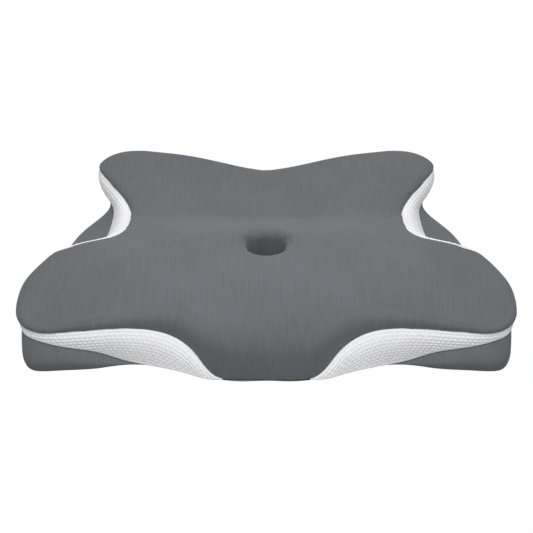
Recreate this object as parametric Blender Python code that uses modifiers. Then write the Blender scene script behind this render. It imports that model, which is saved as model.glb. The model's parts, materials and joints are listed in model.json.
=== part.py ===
"""Butterfly-shaped contour pillow for the neck: a moulded foam core in a liner, inside a zipped cover.

The cover has a grey top panel and a grey bottom panel, joined edge to edge at the front, at the wings
and at the rear corners. Four white side panels fill the crescents between them, and a zip closes the rear.
X runs along the pillow's width, -Y is the side with the taller neck roll, and Z is up.
"""

import math

import bmesh
import bpy
import numpy as np
from mathutils import Matrix, Vector

# ---------------------------------------------------------------- driving dimensions, in millimetres
MM = 0.001

# Right half of the pillow, from the middle of the front round to the middle of the rear.
# Each station: name, top edge (x, y), top seam (x, y, z), bottom seam (x, y, z), lower lobe (x, y),
# and how far the top panel bulges out past its seam.
STATIONS = [
    ("front_centre", (0, 46), (0, 1, 9.0), (0, 1, 8.4), (0, -3), 1),
    ("front_corner", (56, 46), (59, 1, 9.0), (60, 1, 8.4), (63, -3), 1),
    ("front_slope", (86, 47), (93, 17, 34), (100, 11, 8), (101, 7), 1),
    ("front_shoulder", (118, 47), (124, 29, 51), (137, 23, 8), (138, 18), 2),
    ("front_notch", (164, 46), (165, 33, 58), (180, 31, 8), (181, 25), 2),
    ("wing_front_in", (214, 44), (214, 33, 55.5), (219, 31, 19.5), (222, 17), 3),
    ("wing_front", (260, 42), (262, 31, 52.5), (264, 29, 30.5), (267, 12.8), 3),
    ("wing_front_out", (286, 48), (291, 36, 49.5), (293, 34, 36), (301, 14), 4),
    ("wing_corner", (299, 64), (312, 49, 50), (311.5, 48, 40), (314, 34), 3),
    ("wing_side", (304, 90), (315.5, 88, 54), (315.5, 88, 53.4), (315.8, 88), 7),
    ("wing_side_rear", (300, 116), (312, 116, 60), (312, 117, 57.5), (313, 124), 7),
    ("wing_rear_out", (290, 134), (301, 138, 68), (306, 144, 53), (311, 161), 4),
    ("wing_rear", (273, 147), (280, 155, 78), (293, 172, 47), (307, 194), 2),
    ("wing_rear_in", (245, 156), (249, 163, 89), (265, 190, 43), (300, 220), 1),
    ("notch_front", (207, 165), (211, 173, 95), (242, 211, 40), (290, 242), 1),
    ("notch_front_in", (184.5, 194), (192.5, 198, 91), (230, 240, 38), (284, 260), 1),
    ("notch_inner", (181.5, 234), (189.5, 234, 81), (224.5, 266, 39), (277, 281), 1),
    ("notch_mid", (183.5, 270), (191.5, 268, 70), (222, 290, 41), (270, 304), 1),
    ("notch_rear", (195, 304), (203, 301, 69), (222.5, 316, 43), (249, 323), 1),
    ("notch_rear_out", (213, 336), (221, 332, 71), (233, 338, 48), (224, 343), 1),
    ("rear_wing_side", (229, 361), (237, 357, 73), (244.5, 360, 54), (225, 364), 1),
    ("rear_wing_tip", (232, 384), (245.5, 386, 69), (247, 387, 61), (234, 386), 1.5),
    ("rear_corner", (216, 397), (231, 407, 60), (231, 407, 59.4), (222, 406), 3),
    ("rear_wing_back", (181, 401), (185, 414.5, 52), (185, 414.5, 30), (184, 417), 6),
    ("rear_mid", (90, 391), (92, 394.4, 52), (92, 394.4, 30), (92, 400), 9),
    ("rear_centre", (0, 378), (0, 388, 52), (0, 388, 30), (0, 393), 6),
]
# Where the section columns stand, counted in stations. The extra ones mark where a panel starts or ends.
COLUMNS = [0, 1, 1.25, 2, 3, 4, 5, 6, 7, 8, 8.75, 9, 10, 11.5, 13, 14, 15.5, 17, 18, 19, 20, 21, 21.75, 22,
           22.35, 23, 23.15, 23.6, 24, 24.5, 25]
FRONT_PANEL = (1.25, 8.75)
REAR_PANEL = (10, 21.75)
ZIP_TAB = (22.35, 23.15)

Y_MIDDLE = 208.7            # moves the table's y, measured from the front edge, to the pillow's middle
CREST_HEIGHT = 114          # top of the neck roll
HOLLOW_Y = 149              # centre of the round hollow
HOLLOW_RADIUS = 24
HOLLOW_FLARE = 14           # how far its rim widens
HOLLOW_DEPTH = 66
LINING_JOIN_DEPTH = 50      # where the top panel meets the hollow's own lining

COVER = 1.2                 # thicknesses, and the gap that touching layers keep
LINER = 0.5
GAP = 0.3

ZIP_RADIUS = 660            # the rear face is hollow, so the zip lies on an arc in a level plane
ZIP_CENTRE_Y = 1048
ZIP_Z = 41
ZIP_OPENING = 22            # height between the two panels' edges
ZIP_FLAT_X = 186            # the arc holds this far from the middle
ZIP_RECESS = 3              # how much deeper the liner and core lie behind the zip
TEETH_ANGLE = math.radians(14.2)
TAPE = 0.7
TAPE_EDGE = 1.2             # the tapes' inner edges stand this far from the zip's middle line
TEETH_RADIUS = 0.7
TEETH_OFFSET = 1.25         # from the zip's middle line to a tooth row's centre line
SLIDER_REST = math.radians(-13.6)
SLIDER_LENGTH = 11
SLIDER_HEIGHT = 9
SLIDER_PLATE = 1.1
SLIDER_BACK = 0.8
SLIDER_WEB = 0.5
FLANGE = 1.3
BAIL_LENGTH = 6
BAIL_WIDTH = 1.8
BAIL_BAR = 0.8
BAIL_CLEAR = 1.7            # height of the space under the bail
PULL_LENGTH = 24
PULL_WIDTH = 5.2
PULL_THICK = 1.0
PULL_WINDOW = 3.5
PULL_BAR_HEIGHT = 0.85      # the pull's bar above the slider's front plate
STOP_LENGTH = 3.5
STOP_HEIGHT = 5


# ---------------------------------------------------------------- the pillow's outer surface
def smooth(value):
    """0 to 1 with level ends."""
    value = np.clip(value, 0, 1)
    return value * value * (3 - 2 * value)


def top_height(x, y):
    """Height of the top: a neck roll at the front, a dip for the head behind it, and a lower rear rim."""
    width = np.abs(x)
    crest = CREST_HEIGHT - 18 * (width / 300) ** 1.7
    crest_y = np.minimum(100 + 48 * (width / 220) ** 1.2, 150)
    crest_back_y = np.maximum(crest_y, 142)
    dip_y = 285
    dip = 65 + 12 * (width / 200) ** 2
    rear_rim = 87.5 - 19.5 * np.exp(-((width / 75) ** 2))
    steepness = 0.003 - 0.0009 * smooth((width - 150) / 120) + 0.0021 * np.exp(-((width / 110) ** 2))
    front = crest - steepness * np.maximum(crest_y - y, 0) ** 2
    middle = crest + (dip - crest) * smooth((y - crest_back_y) / (dip_y - crest_back_y))
    rear = dip + (rear_rim - dip) * smooth((y - dip_y) / 145)
    wing_fall = 14 * smooth((width - 200) / 120) + 5 * smooth((width - 225) / 80) * smooth((y - 85) / 70)
    return np.where(y < crest_y, front, np.where(y < dip_y, middle, rear)) - wing_fall


def full_loop(column):
    """One column of the station table, with the left half mirrored from the right."""
    right = np.array([np.atleast_1d(station[column]) for station in STATIONS], float)
    if right.shape[1] == 1:
        right = np.hstack([np.zeros_like(right), right])
    left = right[1:-1][::-1] * ([-1] + [1] * (right.shape[1] - 1))
    return np.vstack([right, left])


def loop_knots(points):
    """Cumulative share of the loop's length at each station."""
    steps = np.linalg.norm(np.roll(points, -1, 0) - points, axis=1)
    return np.concatenate([[0], np.cumsum(steps)]) / steps.sum()


def periodic_spline(knots, points):
    """A closed cubic spline through the points, as a function of the share of the loop's length."""
    count = len(points)
    spans = np.diff(knots)
    matrix = np.zeros((count, count))
    right_side = np.zeros_like(points)
    for i in range(count):
        before, after = spans[i - 1], spans[i]
        following = (i + 1) % count
        matrix[i, i - 1] += before
        matrix[i, i] += 2 * (before + after)
        matrix[i, following] += after
        right_side[i] = 6 * ((points[following] - points[i]) / after - (points[i] - points[i - 1]) / before)
    bend = np.linalg.solve(matrix, right_side)

    def evaluate(share):
        share = np.mod(share, 1)
        i = np.clip(np.searchsorted(knots, share, side="right") - 1, 0, count - 1)
        following = (i + 1) % count
        a = ((knots[i + 1] - share) / spans[i])[:, None]
        b = 1 - a
        sixth = (spans[i] ** 2)[:, None] / 6
        straight = a * points[i] + b * points[following]
        return straight + ((a ** 3 - a) * bend[i] + (b ** 3 - b) * bend[following]) * sixth

    return evaluate


def zip_arc_y(x):
    return ZIP_CENTRE_Y - np.sqrt(ZIP_RADIUS ** 2 - np.minimum(np.abs(x), ZIP_FLAT_X) ** 2)


def outward(curve, share):
    """Level unit normals of a closed curve, pointing away from the pillow."""
    step = 0.002
    run = (curve(share + step) - curve(share - step))[:, :2]
    run /= np.linalg.norm(run, axis=1)[:, None]
    return np.stack([run[:, 1], -run[:, 0], np.zeros(len(share))], 1)


def bezier(a, b, c, d, t):
    return (1 - t) ** 3 * a + 3 * (1 - t) ** 2 * t * b + 3 * (1 - t) * t * t * c + t ** 3 * d


def outer_rings(columns):
    """The outer surface as rings of points, from the hollow's floor out over the top, down and under.

    Returns a dictionary from each ring's name to its points, in the order that a loft follows.
    """
    top_seams = full_loop(2)
    knots = loop_knots(top_seams)
    share = np.interp(columns, np.arange(len(top_seams) + 1), knots)
    edge_curve, seam_curve, low_seam_curve, lobe_curve, bulge_curve = (
        periodic_spline(knots, full_loop(column)) for column in (1, 2, 3, 4, 5))
    seam, low_seam = seam_curve(share), low_seam_curve(share)
    on_arc = (np.abs(seam[:, 0]) < ZIP_FLAT_X) & (seam[:, 1] > ZIP_CENTRE_Y - ZIP_RADIUS - 1)
    for line, side in ((seam, 0.5), (low_seam, -0.5)):
        line[on_arc, 0] = seam[on_arc, 0]
        line[on_arc, 1] = zip_arc_y(seam[on_arc, 0])
        line[on_arc, 2] = ZIP_Z + side * ZIP_OPENING
    bulge = bulge_curve(share)[:, 1:]
    seam_out, lobe_out = outward(seam_curve, share), outward(lobe_curve, share)
    edge_out = outward(edge_curve, share) + seam_out
    edge_out /= np.linalg.norm(edge_out, axis=1)[:, None]
    up = np.array([0, 0, 1.0])

    edge_xy = edge_curve(share)
    edge = np.column_stack([edge_xy, top_height(*edge_xy.T)])
    inside = edge - 2 * edge_out
    fall = (edge[:, 2] - top_height(inside[:, 0], inside[:, 1]))[:, None] / 2
    widest = seam + seam_out * bulge
    widest[:, 2] += 0.38 * (edge[:, 2] - seam[:, 2])
    reach = np.linalg.norm(widest[:, :2] - edge[:, :2], axis=1)[:, None] * 0.55
    drop = (edge[:, 2] - widest[:, 2])[:, None] * 0.55
    under = (widest[:, 2] - seam[:, 2])[:, None]

    angle = np.arctan2(edge[:, 1] - HOLLOW_Y, edge[:, 0])

    def hollow_ring(radius, height):
        x = radius * np.cos(angle)
        y = HOLLOW_Y + radius * np.sin(angle)
        return np.column_stack([x, y, height(x, y)])

    mouth = float(top_height(np.array(0.0), np.array(float(HOLLOW_Y))))
    rim = hollow_ring(HOLLOW_RADIUS + HOLLOW_FLARE, top_height)
    rings = {
        "floor": hollow_ring(HOLLOW_RADIUS - 10, lambda x, y: 0 * x + mouth - HOLLOW_DEPTH),
        "floor_edge": hollow_ring(HOLLOW_RADIUS - 2, lambda x, y: 0 * x + mouth - HOLLOW_DEPTH + 7),
        "lining_join": hollow_ring(HOLLOW_RADIUS, lambda x, y: 0 * x + mouth - LINING_JOIN_DEPTH),
        "flare": hollow_ring(HOLLOW_RADIUS + 0.32 * HOLLOW_FLARE,
                             lambda x, y: top_height(x, y) - 0.38 * HOLLOW_FLARE),
        "rim": rim,
    }
    for number in (1, 2, 3):
        xy = rim[:, :2] + (edge[:, :2] - rim[:, :2]) * number / 4
        rings[f"top_{number}"] = np.column_stack([xy, top_height(*xy.T)])
    rings["edge"] = edge
    rings["roll"] = bezier(edge, edge + (edge_out + up * fall) * reach, widest + up * drop, widest, 0.5)
    rings["widest"] = widest
    rings["top_seam"] = seam
    rings["middle_a"], rings["middle_b"] = split_line(seam, low_seam)
    rings["bottom_seam"] = low_seam

    lobe_height = np.minimum(15, low_seam[:, 2] * 0.55)
    lobe = np.column_stack([lobe_curve(share), lobe_height])
    foot = lobe - lobe_out * np.minimum(5.5, 1.5 + lobe_height * 0.4)[:, None]
    foot[:, 2] = 0
    ledge = lobe - low_seam
    ledge[:, 2] = 0
    lift = up * ((low_seam[:, 2] - lobe_height) * 0.4)[:, None]
    rings["ledge"] = bezier(low_seam, low_seam + ledge * 0.45, lobe + lift, lobe, 0.55)
    rings["lobe"] = lobe
    rings["heel"] = bezier(lobe, lobe - up * lobe_height[:, None] * 0.55, foot + lobe_out * 3, foot, 0.6)
    rings["foot"] = foot
    base_middle = np.array([0, HOLLOW_Y, 0.0])
    rings["base"] = base_middle + (foot - base_middle) * 0.4
    return rings


def split_line(upper, lower):
    """Two lines half way between the seams, as far apart as touching edges stand."""
    height = np.linalg.norm(lower - upper, axis=1)[:, None]
    share = np.minimum(0.5 * GAP / height, 0.3)
    return upper + (lower - upper) * (0.5 - share), upper + (lower - upper) * (0.5 + share)


def cell_corners(left):
    """A cell's two triangles as steps (down, along). Their diagonal is mirrored on the left half."""
    if left:
        return ((0, 0), (0, 1), (1, 0)), ((0, 1), (1, 1), (1, 0))
    return ((0, 0), (0, 1), (1, 1)), ((0, 0), (1, 1), (1, 0))


def inward_offsets(rings):
    """For every point, the move that takes each face around it 1 mm inward."""
    grid = np.array(list(rings.values()))
    count = grid.shape[1]
    around = [[[] for _ in range(count)] for _ in grid]
    for ring in range(len(grid) - 1):
        for column in range(count):
            for corners in cell_corners(column >= count // 2):
                places = [(ring + down, (column + along) % count) for down, along in corners]
                first, second, third = (grid[place] for place in places)
                normal = np.cross(third - first, second - first)
                normal /= max(np.linalg.norm(normal), 1e-9)
                for down, along in places:
                    around[down][along].append(normal)
    for point in around[0]:
        point.append(np.array([0, 0, 1.0]))
    for point in around[-1]:
        point.append(np.array([0, 0, -1.0]))
    moves = np.zeros_like(grid)
    for ring, row in enumerate(around):
        for column, normals in enumerate(row):
            faces = np.array(normals)
            moves[ring, column] = -np.linalg.solve(faces.T @ faces + 0.1 * np.eye(3), faces.sum(0))
    return dict(zip(rings, moves))


def layer(rings, moves, depth, recess=0.0):
    """The surface at a depth under the outer one. The zip's recess goes deeper."""
    result = {name: points + moves[name] * depth for name, points in rings.items()}
    for name in ("top_seam", "middle_a", "middle_b", "bottom_seam"):
        seam = rings[name]
        near_zip = (seam[:, 1] > ZIP_CENTRE_Y - ZIP_RADIUS - 1) * smooth((235 - np.abs(seam[:, 0])) / 40)
        result[name][:, 1] -= recess * near_zip
    return result


# ---------------------------------------------------------------- building blocks
def material(name, colour, roughness, metallic=0.0):
    made = bpy.data.materials.new(name)
    made.use_nodes = True
    shader = made.node_tree.nodes["Principled BSDF"]
    shader.inputs["Base Color"].default_value = (*colour, 1)
    shader.inputs["Roughness"].default_value = roughness
    shader.inputs["Metallic"].default_value = metallic
    return made


def add_object(name, data, finish, smooth_shaded=True):
    made = bpy.data.objects.new(name, data)
    made.data.materials.append(finish)
    bpy.data.collections["contour_pillow"].objects.link(made)
    if smooth_shaded and made.type == "MESH":
        made.data.shade_smooth()
        made.data.set_sharp_from_angle(angle=math.radians(40))
    return made


def surface_faces(body, rows, wrap):
    """The triangles between rows of vertices, with the same diagonals at every depth."""
    count = len(rows[0])
    for cell_rows in zip(rows, rows[1:]):
        for i in range(count if wrap else count - 1):
            left = i >= count // 2 if wrap else rows[0][0].co.x < 0
            for corners in cell_corners(left):
                body.faces.new([cell_rows[down][(i + along) % count] for down, along in corners])


def loft(name, outer, finish, inner=None, caps=(True, True), wrap=True):
    """A closed body from rings of points, in millimetres from the front edge.

    Without inner rings it is solid. With them it is a shell, whose first and last rings are
    either capped on both faces or joined by an edge strip. Rows that don't wrap get end strips too.
    """
    body = bmesh.new()
    shift = np.array([0, -Y_MIDDLE, 0])
    faces = [[[body.verts.new((point + shift) * MM) for point in ring] for ring in rings]
             for rings in ([outer] if inner is None else [outer, inner])]
    for rows in faces:
        surface_faces(body, rows, wrap)
    for end, capped in zip((0, -1), caps):
        if capped:
            for rows in faces:
                body.faces.new(rows[end])
        else:
            surface_faces(body, [rows[end] for rows in faces], wrap)
    if not wrap:
        for end in (0, -1):
            surface_faces(body, [[row[end] for row in rows] for rows in faces], wrap)
    bmesh.ops.recalc_face_normals(body, faces=body.faces)
    mesh = bpy.data.meshes.new(name)
    body.to_mesh(mesh)
    body.free()
    return add_object(name, mesh, finish)


def box_object(name, size, centre, bevel=0.0):
    """A box in millimetres, with its rounding, as a mesh at the origin of its own frame."""
    body = bmesh.new()
    bmesh.ops.create_cube(body, size=1)
    bmesh.ops.scale(body, vec=Vector(size) * MM, verts=body.verts)
    bmesh.ops.translate(body, vec=Vector(centre) * MM, verts=body.verts)
    if bevel:
        bmesh.ops.bevel(body, geom=body.edges[:], offset=bevel * MM, segments=2, affect="EDGES", profile=0.6)
    mesh = bpy.data.meshes.new(name)
    body.to_mesh(mesh)
    body.free()
    return bpy.data.objects.new(name, mesh)


def hidden_tool(tool, parent):
    """Keeps a cutter or an added block out of the finished part."""
    tool.hide_render = True
    tool.display_type = "WIRE"
    tool.parent = parent
    bpy.data.collections["cutters"].objects.link(tool)


def combine(target, tool, operation):
    hidden_tool(tool, target)
    step = target.modifiers.new(tool.name, "BOOLEAN")
    step.operation = operation
    step.solver = "EXACT"
    step.object = tool


# ---------------------------------------------------------------- foam, liner and cover
def span(columns, first, last):
    """Indices of the columns from one station count to another."""
    return [i for i, column in enumerate(columns) if first - 1e-6 <= column <= last + 1e-6]


def build_core_and_liner(rings, moves, finishes):
    liner_depth = COVER + GAP
    foam_depth = liner_depth + LINER + GAP
    foam = layer(rings, moves, foam_depth, ZIP_RECESS)
    loft("foam_core", list(foam.values()), finishes["foam"])
    outside = layer(rings, moves, liner_depth, ZIP_RECESS)
    inside = layer(rings, moves, liner_depth + LINER, ZIP_RECESS)
    names = list(rings)
    split = names.index("middle_b")
    upper, lower = names[:split], names[split:]
    loft("liner_top", [outside[n] for n in upper], finishes["liner"],
         inner=[inside[n] for n in upper], caps=(True, False))
    loft("liner_bottom", [outside[n] for n in lower], finishes["liner"],
         inner=[inside[n] for n in lower], caps=(False, True))


def build_cover(rings, moves, columns, finishes):
    inside = layer(rings, moves, COVER)
    names = list(rings)
    join, seam = names.index("lining_join"), names.index("top_seam")
    panel = names[join:seam + 1]
    loft("cover_top_panel", [rings[n] for n in panel], finishes["grey_knit"],
         inner=[inside[n] for n in panel], caps=(False, False))
    panel = names[names.index("bottom_seam"):]
    loft("cover_bottom_panel", [rings[n] for n in panel], finishes["grey_knit"],
         inner=[inside[n] for n in panel], caps=(False, True))
    clear = np.array([0, 0, GAP])
    loft("hollow_lining", [rings["floor"], rings["floor_edge"], rings["lining_join"] - clear],
         finishes["grey_knit"],
         inner=[inside["floor"], inside["floor_edge"], inside["lining_join"] - clear], caps=(True, False))

    def band(name, first, last, finish):
        picked = span(columns, first, last)
        sides = []
        for surface in (rings, inside):
            high, middle, low = (surface[name][picked] for name in ("top_seam", "middle_a", "bottom_seam"))
            share = GAP / np.linalg.norm(low - high, axis=1)[:, None]
            sides.append([high + (low - high) * share, middle, low + (high - low) * share])
        loft(name, sides[0], finish, inner=sides[1], caps=(False, False), wrap=False)

    loop = 2 * (len(STATIONS) - 1)
    for side, turn in (("right", lambda s: s), ("left", lambda s: loop - s)):
        for name, limits, finish in ((f"front_{side}_side_panel", FRONT_PANEL, "white_mesh"),
                                     (f"rear_{side}_side_panel", REAR_PANEL, "white_mesh"),
                                     (f"zip_end_tab_{side}", ZIP_TAB, "grey_knit")):
            first, last = sorted(turn(limit) for limit in limits)
            band(name, first, last, finishes[finish])


# ---------------------------------------------------------------- zip
def arc_point(angle, radius, z):
    """A point on the zip's arc, in metres and in the pillow's frame."""
    return Vector((radius * math.sin(angle), ZIP_CENTRE_Y - Y_MIDDLE - radius * math.cos(angle), z)) * MM


def build_tapes(finishes):
    """Two woven tapes, each an open strip with a thickness."""
    end = TEETH_ANGLE + math.radians(0.45)
    for name, low, high in (("zip_tape_upper", ZIP_Z + TAPE_EDGE, ZIP_Z + ZIP_OPENING / 2 - 0.4),
                            ("zip_tape_lower", ZIP_Z - ZIP_OPENING / 2 + 0.4, ZIP_Z - TAPE_EDGE)):
        body = bmesh.new()
        steps = np.linspace(-end, end, 37)
        rows = [[body.verts.new(arc_point(angle, ZIP_RADIUS + GAP, z)) for angle in steps] for z in (low, high)]
        for i in range(len(steps) - 1):
            body.faces.new((rows[0][i + 1], rows[0][i], rows[1][i], rows[1][i + 1]))
        mesh = bpy.data.meshes.new(name)
        body.to_mesh(mesh)
        body.free()
        tape = add_object(name, mesh, finishes["zip_tape"])
        thickness = tape.modifiers.new("thickness", "SOLIDIFY")
        thickness.thickness = TAPE * MM
        thickness.offset = -1


def build_teeth(finishes):
    """The two rows of the closed coil, each a rod along the arc."""
    for name, side in (("zip_teeth_upper", 1), ("zip_teeth_lower", -1)):
        curve = bpy.data.curves.new(name, "CURVE")
        curve.dimensions = "3D"
        spline = curve.splines.new("POLY")
        steps = np.linspace(-TEETH_ANGLE, TEETH_ANGLE, 37)
        spline.points.add(len(steps) - 1)
        for point, angle in zip(spline.points, steps):
            place = arc_point(angle, ZIP_RADIUS - 0.45, ZIP_Z + side * TEETH_OFFSET)
            point.co = (*place, 1)
        curve.bevel_depth = TEETH_RADIUS * MM
        curve.bevel_resolution = 1
        curve.use_fill_caps = True
        add_object(name, curve, finishes["zip_teeth"])


def build_stops(finishes):
    """A crimped block past each end of the teeth."""
    half_turn = STOP_LENGTH / 2 / ZIP_RADIUS
    for name, side in (("zip_stop_closed_end", -1), ("zip_stop_open_end", 1)):
        angle = side * (TEETH_ANGLE + half_turn + GAP / ZIP_RADIUS)
        block = box_object(name, (STOP_LENGTH, 1.6, STOP_HEIGHT), (0, 0, 0), bevel=0.4)
        bpy.data.collections["contour_pillow"].objects.link(block)
        block.data.materials.append(finishes["zip_metal"])
        block.location = arc_point(angle, ZIP_RADIUS - GAP - 0.5, ZIP_Z)
        block.rotation_euler = (0, 0, angle)


def build_slider(finishes):
    """The slider, in a frame with X along the zip and Y out of the pillow, standing on the zip's arc.

    Its origin is the arc's centre, which its travel turns about.
    """
    teeth_front = 0.45 + TEETH_RADIUS
    plate_back = teeth_front + GAP
    plate_front = plate_back + SLIDER_PLATE
    back_front = -(GAP + TAPE + GAP)
    back_back = back_front - SLIDER_BACK
    slider = box_object("zip_slider", (SLIDER_LENGTH, SLIDER_PLATE, SLIDER_HEIGHT),
                        (0, (plate_back + plate_front) / 2, 0), bevel=0.3)
    bpy.data.collections["contour_pillow"].objects.link(slider)
    slider.data.materials.append(finishes["zip_metal"])
    combine(slider, box_object("slider_back_plate", (SLIDER_LENGTH, SLIDER_BACK, SLIDER_HEIGHT),
                               (0, (back_front + back_back) / 2, 0), bevel=0.2), "UNION")
    web_depth = plate_back - back_front + 0.6
    combine(slider, box_object("slider_web", (3, web_depth, SLIDER_WEB),
                               (-3, (plate_back + back_front) / 2, 0)), "UNION")
    flange_depth = plate_back + 0.35
    for side in (1, -1):
        combine(slider, box_object(f"slider_flange_{'upper' if side > 0 else 'lower'}",
                                   (SLIDER_LENGTH - 1, flange_depth, FLANGE),
                                   (0, 0.1 + flange_depth / 2, side * (SLIDER_HEIGHT - FLANGE - 0.6) / 2)), "UNION")
    bail_rise = BAIL_CLEAR + BAIL_BAR
    combine(slider, box_object("slider_bail", (BAIL_LENGTH, bail_rise + 0.4, BAIL_WIDTH),
                               (0, plate_front + bail_rise / 2 - 0.2, 0), bevel=0.25), "UNION")
    combine(slider, box_object("slider_bail_space", (BAIL_LENGTH - 2 * BAIL_BAR, BAIL_CLEAR, BAIL_WIDTH + 2),
                               (0, plate_front + BAIL_CLEAR / 2, 0)), "DIFFERENCE")
    stand_on_arc(slider)
    return plate_front


def stand_on_arc(piece):
    """Moves a mesh from the zip's own frame to the arc's rest angle, with the origin on the arc's axis."""
    move = Matrix.Translation((0, -ZIP_RADIUS * MM, 0))
    pieces = [piece, *piece.children]
    for part in pieces:
        part.data.transform(move)
    piece.location = (0, (ZIP_CENTRE_Y - Y_MIDDLE) * MM, ZIP_Z * MM)
    piece.rotation_euler = (0, 0, SLIDER_REST)


def build_pull(plate_front, finishes):
    """The pull, lying along the zip. Its origin is its bar, under the slider's bail."""
    half = PULL_THICK / 2
    pull = box_object("zip_pull", (PULL_LENGTH + half, PULL_THICK, PULL_WIDTH),
                      ((PULL_LENGTH - half) / 2, 0, 0), bevel=0.35)
    bpy.data.collections["contour_pillow"].objects.link(pull)
    pull.data.materials.append(finishes["zip_metal"])
    window = (half + 0.05 + PULL_WINDOW / 2, 0, 0)
    combine(pull, box_object("pull_window", (PULL_WINDOW, 4, BAIL_WIDTH + 1.2), window), "DIFFERENCE")
    combine(pull, box_object("pull_grip_hole", (4.5, 4, 2.2), (PULL_LENGTH - 4.5, 0, 0)), "DIFFERENCE")
    radius = ZIP_RADIUS - plate_front - PULL_BAR_HEIGHT
    pull.location = arc_point(SLIDER_REST, radius, ZIP_Z)
    pull.rotation_euler = (0, 0, SLIDER_REST)


def main():
    for old in list(bpy.data.objects):
        bpy.data.objects.remove(old)
    for name in ("contour_pillow", "cutters"):
        bpy.context.scene.collection.children.link(bpy.data.collections.new(name))
    finishes = {
        "grey_knit": material("grey_knit", (0.155, 0.16, 0.18), 0.85),
        "white_mesh": material("white_mesh", (0.82, 0.82, 0.83), 0.8),
        "liner": material("liner", (0.86, 0.86, 0.85), 0.9),
        "foam": material("foam", (0.86, 0.82, 0.7), 0.95),
        "zip_tape": material("zip_tape", (0.12, 0.125, 0.14), 0.85),
        "zip_teeth": material("zip_teeth", (0.1, 0.105, 0.115), 0.45),
        "zip_metal": material("zip_metal", (0.32, 0.33, 0.35), 0.35, 0.9),
    }
    loop = 2 * (len(STATIONS) - 1)
    columns = COLUMNS + [loop - column for column in COLUMNS[-2:0:-1]]
    rings = outer_rings(columns)
    moves = inward_offsets(rings)
    build_core_and_liner(rings, moves, finishes)
    build_cover(rings, moves, columns, finishes)
    build_tapes(finishes)
    build_teeth(finishes)
    build_stops(finishes)
    plate_front = build_slider(finishes)
    build_pull(plate_front, finishes)


main()
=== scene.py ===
"""Butterfly-shaped contour pillow for the neck, in its zipped two-tone cover, on a pale studio floor.

The cover is laid over the CAD model's surface, drawn a little finer, with its seams turned in.
Lengths are in millimetres, with y measured from the pillow's front edge, until a mesh is made.
"""

import json
import math
from types import SimpleNamespace

import bpy
import numpy as np
from mathutils import Matrix, Vector, noise


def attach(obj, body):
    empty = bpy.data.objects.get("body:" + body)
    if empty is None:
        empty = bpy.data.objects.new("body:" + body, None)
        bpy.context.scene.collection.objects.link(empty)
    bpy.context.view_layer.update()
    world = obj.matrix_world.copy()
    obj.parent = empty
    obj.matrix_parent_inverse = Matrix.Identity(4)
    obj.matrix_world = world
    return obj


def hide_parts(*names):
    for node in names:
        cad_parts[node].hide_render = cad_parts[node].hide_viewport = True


MM = 0.001

# Right half of the pillow, from the middle of the front round to the middle of the rear.
# Each station: name, top edge (x, y), top seam (x, y, z), bottom seam (x, y, z), lower lobe (x, y),
# and how far the top panel bulges out past its seam.
STATIONS = [
    ("front_centre", (0, 46), (0, -1.8, 2.4), (0, -1.8, 2.2), (0, -2.2), 1),
    ("front_edge", (44, 46), (46, -1.8, 2.4), (46, -1.8, 2.2), (46, -2.2), 1),
    ("front_corner", (56, 46), (59, -0.8, 4.5), (61, -1.6, 1.0), (61.2, 0.6), 1),
    ("front_slope", (86, 47), (93, 17, 33.5), (100, 9.8, 0.6), (100.2, 12.5), 1),
    ("front_shoulder", (118, 47), (124, 29, 51), (137, 22.3, 0.6), (137.2, 25), 2),
    ("front_notch", (164, 46), (165, 33, 57.5), (180, 31, 4), (181, 27.5), 2),
    ("wing_front_in", (214, 44), (214, 33, 55.5), (219, 31, 19.5), (222, 17), 3),
    ("wing_front", (260, 42), (262, 31, 52.5), (264, 29, 30.5), (267, 12.8), 3),
    ("wing_front_out", (286, 48), (291, 36, 49.5), (293, 34, 36), (301, 14), 4),
    ("wing_corner", (299, 64), (312, 49, 50), (311.5, 47, 38), (314, 34), 3),
    ("wing_side", (304, 90), (315.5, 88, 54), (315.5, 88, 48.5), (315.8, 88), 7),
    ("wing_side_rear", (299, 115), (312, 115, 59), (312, 115, 58.4), (313, 124), 5),
    ("wing_rear_out", (290, 134), (301, 139, 63), (306, 146, 55), (311, 161), 4),
    ("wing_rear", (274, 148), (284, 158, 74), (293, 173, 50), (307, 194), 3),
    ("wing_rear_in", (252, 156), (259.5, 165.5, 88), (269, 188, 44), (300, 220), 1.5),
    ("notch_front", (203, 166), (207.6, 174, 97), (240, 211, 40), (290, 242), 1),
    ("notch_front_in", (184.5, 195), (192.6, 199.5, 90), (230, 240, 38), (282, 260), 1),
    ("notch_inner", (181.5, 234), (189.5, 234, 81), (224.5, 267, 38), (275, 280), 1),
    ("notch_mid", (183.5, 270), (191.5, 268, 70), (222, 290, 40), (262, 303), 1),
    ("notch_rear", (195, 304), (203, 301, 69), (222.5, 316, 43), (243, 322), 1),
    ("notch_rear_out", (213, 336), (221, 332, 71), (233, 338, 48), (224, 343), 1),
    ("rear_wing_side", (229, 361), (237, 357, 73), (244.5, 360, 54), (225, 364), 1),
    ("rear_wing_tip", (232, 384), (245.5, 386, 69), (247, 387, 61), (234, 386), 1.5),
    ("rear_corner", (216, 397), (231, 407, 60), (231, 407, 59.4), (222, 406), 3),
    ("rear_wing_back", (181, 401), (185, 414.5, 52), (185, 414.5, 30), (184, 417), 6),
    ("rear_mid", (90, 391), (92, 394.4, 52), (92, 394.4, 30), (92, 400), 9),
    ("rear_centre", (0, 378), (0, 388, 52), (0, 388, 30), (0, 393), 6),
]
LOOP_STATIONS = 2 * (len(STATIONS) - 1)
FRONT_PANEL = (1.7, 10.75)  # station counts where the side panels and the zip's end tabs start and end
REAR_PANEL = (11.2, 23)
ZIP_TAB = (23, 24.15)

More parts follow.
